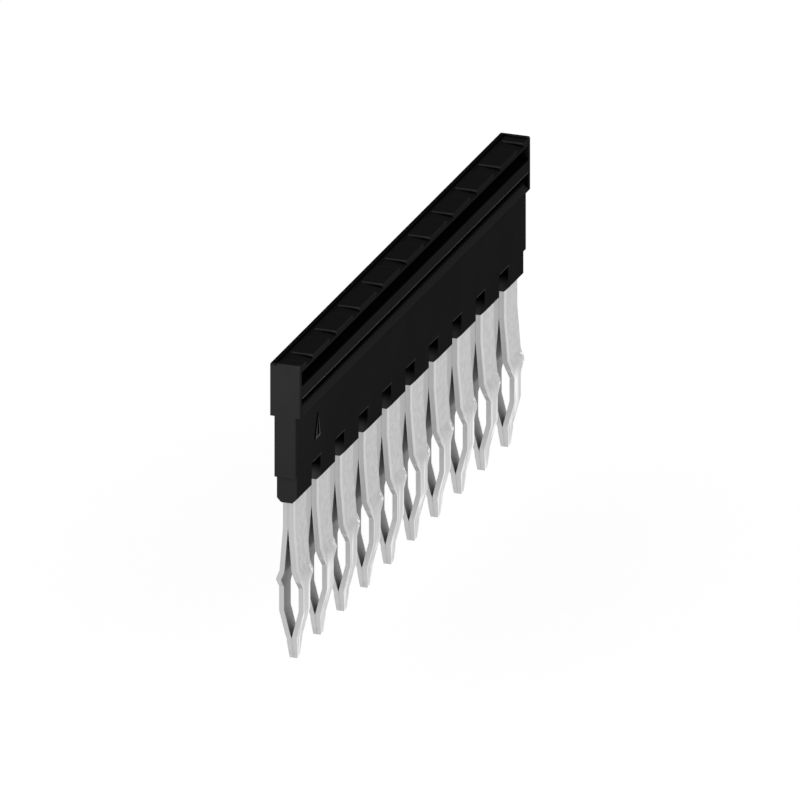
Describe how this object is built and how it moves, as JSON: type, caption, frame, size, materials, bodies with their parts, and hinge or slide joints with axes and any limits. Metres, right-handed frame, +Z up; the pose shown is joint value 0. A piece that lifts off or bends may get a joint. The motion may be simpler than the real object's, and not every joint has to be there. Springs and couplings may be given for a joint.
{
  "type": "terminal block jumper",
  "caption": "Comb-shaped plug-in jumper: a slim black moulded grip bar over a row of split, sprung metal contact pins that bridge neighbouring terminal blocks.",
  "frame": {"origin": "middle of the row and of its thickness, at the underside of the housing, where the pins come out", "axes": "+X along the row of pins, -Y the front with the notched top edge, +Z up, away from the pins"},
  "size_m": [0.0414, 0.002, 0.0196],
  "materials": {
    "housing_plastic": "black moulded polyamide, fine satin skin",
    "contact_metal": "stamped copper strip with a satin tin plating"
  },
  "bodies": {
    "root": {"housing": "housing_plastic", "front_comb": "contact_metal", "rear_comb": "contact_metal"}
  },
  "joints": []
}
